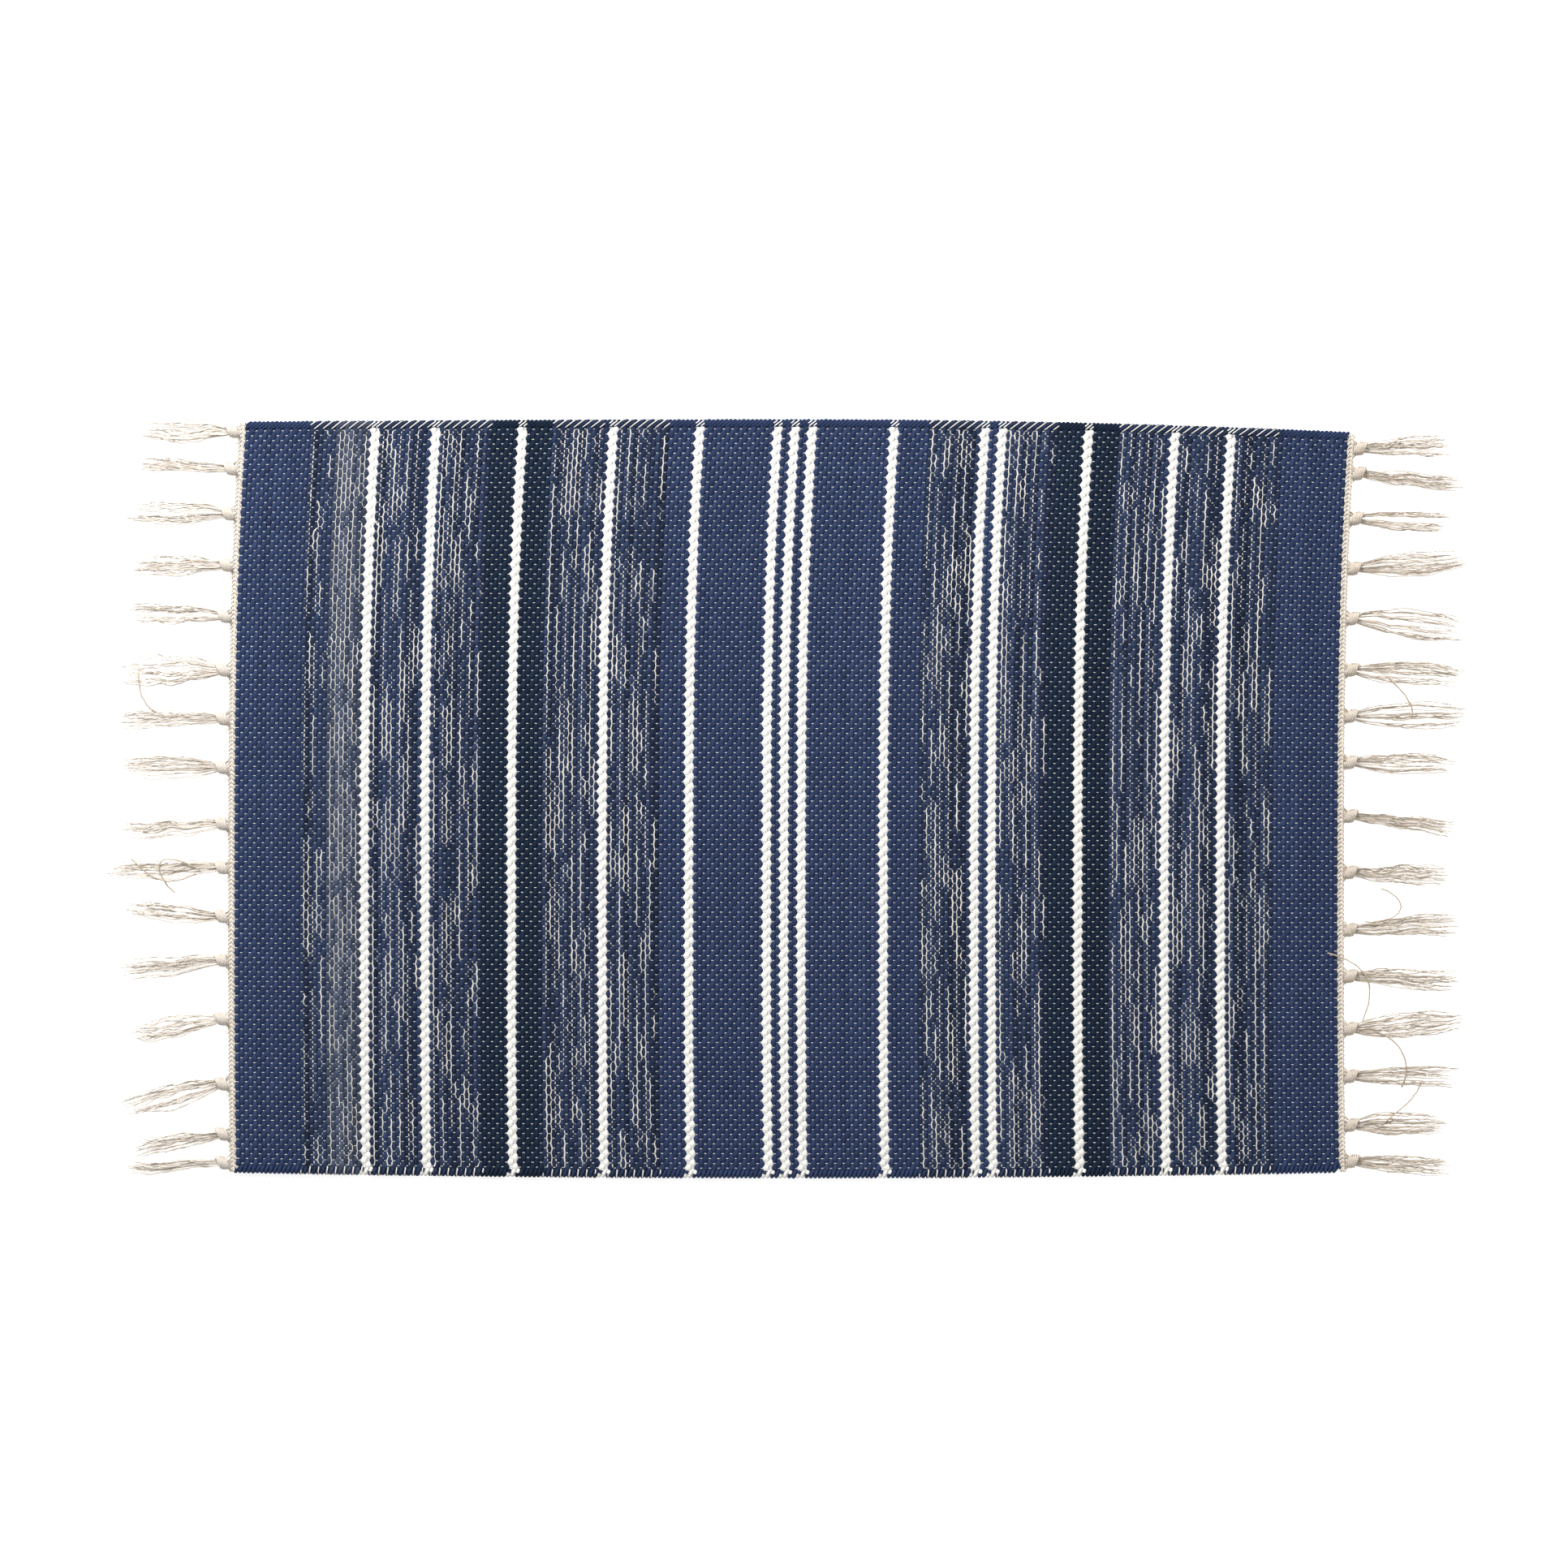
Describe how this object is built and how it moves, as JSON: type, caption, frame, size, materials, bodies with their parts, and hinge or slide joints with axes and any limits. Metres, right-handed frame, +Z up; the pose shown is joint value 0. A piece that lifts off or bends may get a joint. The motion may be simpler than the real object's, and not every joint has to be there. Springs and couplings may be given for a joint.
{
  "type": "bath mat",
  "caption": "Flat-woven cotton bath mat with blue, navy, melange and white cross stripes, twined cream headings and knotted cream tassels along both short ends.",
  "frame": {"origin": "centre of the underside, on the floor plane", "axes": "+X along the length and the warp, towards the right-hand fringe; +Y across the mat along the weft; +Z up, out of the face"},
  "size_m": [1.08, 0.608, 0.009],
  "materials": {
    "blue_cotton": "soft matte blue cotton yarn",
    "navy_cotton": "soft matte navy cotton yarn",
    "melange_cotton": "blue cotton yarn laid with thin cream strands",
    "white_cotton": "soft matte white cotton yarn",
    "cream_cotton": "twisted natural cotton",
    "fringe_cotton": "loose two-ply natural cotton strands"
  },
  "bodies": {
    "right_half": {"blue_gap_right": "blue_cotton", "white_stripes_right": "white_cotton", "blue_centre_right": "blue_cotton", "blue_narrow_right": "blue_cotton", "melange_6": "melange_cotton", "blue_gap_outer": "blue_cotton", "melange_7": "melange_cotton", "navy_right": "navy_cotton", "melange_8": "melange_cotton", "melange_9": "melange_cotton", "melange_10": "melange_cotton", "blue_border_right": "blue_cotton", "warp_right": "cream_cotton", "heading_right": "cream_cotton"},
    "left_half": {"blue_border_left": "blue_cotton", "melange_1": "melange_cotton", "white_stripes_left": "white_cotton", "melange_2": "melange_cotton", "melange_3": "melange_cotton", "navy_left": "navy_cotton", "melange_4": "melange_cotton", "melange_5": "melange_cotton", "blue_narrow_left": "blue_cotton", "blue_centre_left": "blue_cotton", "blue_gap_left": "blue_cotton", "warp_left": "cream_cotton", "heading_left": "cream_cotton"},
    "tassel_left_1": {"tassel_left_1": "fringe_cotton"},
    "tassel_left_2": {"tassel_left_2": "fringe_cotton"},
    "tassel_left_3": {"tassel_left_3": "fringe_cotton"},
    "tassel_left_4": {"tassel_left_4": "fringe_cotton"},
    "tassel_left_5": {"tassel_left_5": "fringe_cotton"},
    "tassel_left_6": {"tassel_left_6": "fringe_cotton"},
    "tassel_left_7": {"tassel_left_7": "fringe_cotton"},
    "tassel_left_8": {"tassel_left_8": "fringe_cotton"},
    "tassel_left_9": {"tassel_left_9": "fringe_cotton"},
    "tassel_left_10": {"tassel_left_10": "fringe_cotton"},
    "tassel_left_11": {"tassel_left_11": "fringe_cotton"},
    "tassel_left_12": {"tassel_left_12": "fringe_cotton"},
    "tassel_left_13": {"tassel_left_13": "fringe_cotton"},
    "tassel_left_14": {"tassel_left_14": "fringe_cotton"},
    "tassel_left_15": {"tassel_left_15": "fringe_cotton"},
    "tassel_left_16": {"tassel_left_16": "fringe_cotton"},
    "tassel_right_1": {"tassel_right_1": "fringe_cotton"},
    "tassel_right_2": {"tassel_right_2": "fringe_cotton"},
    "tassel_right_3": {"tassel_right_3": "fringe_cotton"},
    "tassel_right_4": {"tassel_right_4": "fringe_cotton"},
    "tassel_right_5": {"tassel_right_5": "fringe_cotton"},
    "tassel_right_6": {"tassel_right_6": "fringe_cotton"},
    "tassel_right_7": {"tassel_right_7": "fringe_cotton"},
    "tassel_right_8": {"tassel_right_8": "fringe_cotton"},
    "tassel_right_9": {"tassel_right_9": "fringe_cotton"},
    "tassel_right_10": {"tassel_right_10": "fringe_cotton"},
    "tassel_right_11": {"tassel_right_11": "fringe_cotton"},
    "tassel_right_12": {"tassel_right_12": "fringe_cotton"},
    "tassel_right_13": {"tassel_right_13": "fringe_cotton"},
    "tassel_right_14": {"tassel_right_14": "fringe_cotton"},
    "tassel_right_15": {"tassel_right_15": "fringe_cotton"},
    "tassel_right_16": {"tassel_right_16": "fringe_cotton"}
  },
  "joints": [
    {"name": "mat_fold", "type": "hinge", "parent": "right_half", "child": "left_half", "pos_m": [0.0113, 0, 0.0055], "axis": [0, 1, 0], "range_deg": [0, 165]},
    {"name": "tassel_left_1_lift", "type": "hinge", "parent": "left_half", "child": "tassel_left_1", "pos_m": [-0.44266, 0.294, 0.0045], "axis": [0, 1, 0], "range_deg": [0, 90]},
    {"name": "tassel_left_2_lift", "type": "hinge", "parent": "left_half", "child": "tassel_left_2", "pos_m": [-0.44458, 0.264, 0.0045], "axis": [0, 1, 0], "range_deg": [0, 90]},
    {"name": "tassel_left_3_lift", "type": "hinge", "parent": "left_half", "child": "tassel_left_3", "pos_m": [-0.44649, 0.228, 0.0045], "axis": [0, 1, 0], "range_deg": [0, 90]},
    {"name": "tassel_left_4_lift", "type": "hinge", "parent": "left_half", "child": "tassel_left_4", "pos_m": [-0.4482, 0.187, 0.0045], "axis": [0, 1, 0], "range_deg": [0, 90]},
    {"name": "tassel_left_5_lift", "type": "hinge", "parent": "left_half", "child": "tassel_left_5", "pos_m": [-0.44947, 0.146, 0.0045], "axis": [0, 1, 0], "range_deg": [0, 90]},
    {"name": "tassel_left_6_lift", "type": "hinge", "parent": "left_half", "child": "tassel_left_6", "pos_m": [-0.45041, 0.103, 0.0045], "axis": [0, 1, 0], "range_deg": [0, 90]},
    {"name": "tassel_left_7_lift", "type": "hinge", "parent": "left_half", "child": "tassel_left_7", "pos_m": [-0.45097, 0.064, 0.0045], "axis": [0, 1, 0], "range_deg": [0, 90]},
    {"name": "tassel_left_8_lift", "type": "hinge", "parent": "left_half", "child": "tassel_left_8", "pos_m": [-0.45131, 0.025, 0.0045], "axis": [0, 1, 0], "range_deg": [0, 90]},
    {"name": "tassel_left_9_lift", "type": "hinge", "parent": "left_half", "child": "tassel_left_9", "pos_m": [-0.45149, -0.02, 0.0045], "axis": [0, 1, 0], "range_deg": [0, 90]},
    {"name": "tassel_left_10_lift", "type": "hinge", "parent": "left_half", "child": "tassel_left_10", "pos_m": [-0.45154, -0.055, 0.0045], "axis": [0, 1, 0], "range_deg": [0, 90]},
    {"name": "tassel_left_11_lift", "type": "hinge", "parent": "left_half", "child": "tassel_left_11", "pos_m": [-0.45155, -0.094, 0.0045], "axis": [0, 1, 0], "range_deg": [0, 90]},
    {"name": "tassel_left_12_lift", "type": "hinge", "parent": "left_half", "child": "tassel_left_12", "pos_m": [-0.45155, -0.129, 0.0045], "axis": [0, 1, 0], "range_deg": [0, 90]},
    {"name": "tassel_left_13_lift", "type": "hinge", "parent": "left_half", "child": "tassel_left_13", "pos_m": [-0.45147, -0.176, 0.0045], "axis": [0, 1, 0], "range_deg": [0, 90]},
    {"name": "tassel_left_14_lift", "type": "hinge", "parent": "left_half", "child": "tassel_left_14", "pos_m": [-0.4511, -0.228, 0.0045], "axis": [0, 1, 0], "range_deg": [0, 90]},
    {"name": "tassel_left_15_lift", "type": "hinge", "parent": "left_half", "child": "tassel_left_15", "pos_m": [-0.45063, -0.268, 0.0045], "axis": [0, 1, 0], "range_deg": [0, 90]},
    {"name": "tassel_left_16_lift", "type": "hinge", "parent": "left_half", "child": "tassel_left_16", "pos_m": [-0.45027, -0.291, 0.0045], "axis": [0, 1, 0], "range_deg": [0, 90]},
    {"name": "tassel_right_1_lift", "type": "hinge", "parent": "right_half", "child": "tassel_right_1", "pos_m": [0.45951, 0.28, 0.0045], "axis": [0, -1, 0], "range_deg": [0, 90]},
    {"name": "tassel_right_2_lift", "type": "hinge", "parent": "right_half", "child": "tassel_right_2", "pos_m": [0.45829, 0.26, 0.0045], "axis": [0, -1, 0], "range_deg": [0, 90]},
    {"name": "tassel_right_3_lift", "type": "hinge", "parent": "right_half", "child": "tassel_right_3", "pos_m": [0.45642, 0.224, 0.0045], "axis": [0, -1, 0], "range_deg": [0, 90]},
    {"name": "tassel_right_4_lift", "type": "hinge", "parent": "right_half", "child": "tassel_right_4", "pos_m": [0.45479, 0.184, 0.0045], "axis": [0, -1, 0], "range_deg": [0, 90]},
    {"name": "tassel_right_5_lift", "type": "hinge", "parent": "right_half", "child": "tassel_right_5", "pos_m": [0.45357, 0.144, 0.0045], "axis": [0, -1, 0], "range_deg": [0, 90]},
    {"name": "tassel_right_6_lift", "type": "hinge", "parent": "right_half", "child": "tassel_right_6", "pos_m": [0.45269, 0.103, 0.0045], "axis": [0, -1, 0], "range_deg": [0, 90]},
    {"name": "tassel_right_7_lift", "type": "hinge", "parent": "right_half", "child": "tassel_right_7", "pos_m": [0.45215, 0.066, 0.0045], "axis": [0, -1, 0], "range_deg": [0, 90]},
    {"name": "tassel_right_8_lift", "type": "hinge", "parent": "right_half", "child": "tassel_right_8", "pos_m": [0.45182, 0.029, 0.0045], "axis": [0, -1, 0], "range_deg": [0, 90]},
    {"name": "tassel_right_9_lift", "type": "hinge", "parent": "right_half", "child": "tassel_right_9", "pos_m": [0.45162, -0.014, 0.0045], "axis": [0, -1, 0], "range_deg": [0, 90]},
    {"name": "tassel_right_10_lift", "type": "hinge", "parent": "right_half", "child": "tassel_right_10", "pos_m": [0.45156, -0.059, 0.0045], "axis": [0, -1, 0], "range_deg": [0, 90]},
    {"name": "tassel_right_11_lift", "type": "hinge", "parent": "right_half", "child": "tassel_right_11", "pos_m": [0.45155, -0.105, 0.0045], "axis": [0, -1, 0], "range_deg": [0, 90]},
    {"name": "tassel_right_12_lift", "type": "hinge", "parent": "right_half", "child": "tassel_right_12", "pos_m": [0.45155, -0.142, 0.0045], "axis": [0, -1, 0], "range_deg": [0, 90]},
    {"name": "tassel_right_13_lift", "type": "hinge", "parent": "right_half", "child": "tassel_right_13", "pos_m": [0.45167, -0.184, 0.0045], "axis": [0, -1, 0], "range_deg": [0, 90]},
    {"name": "tassel_right_14_lift", "type": "hinge", "parent": "right_half", "child": "tassel_right_14", "pos_m": [0.45194, -0.222, 0.0045], "axis": [0, -1, 0], "range_deg": [0, 90]},
    {"name": "tassel_right_15_lift", "type": "hinge", "parent": "right_half", "child": "tassel_right_15", "pos_m": [0.45238, -0.261, 0.0045], "axis": [0, -1, 0], "range_deg": [0, 90]},
    {"name": "tassel_right_16_lift", "type": "hinge", "parent": "right_half", "child": "tassel_right_16", "pos_m": [0.45281, -0.29, 0.0045], "axis": [0, -1, 0], "range_deg": [0, 90]}
  ]
}
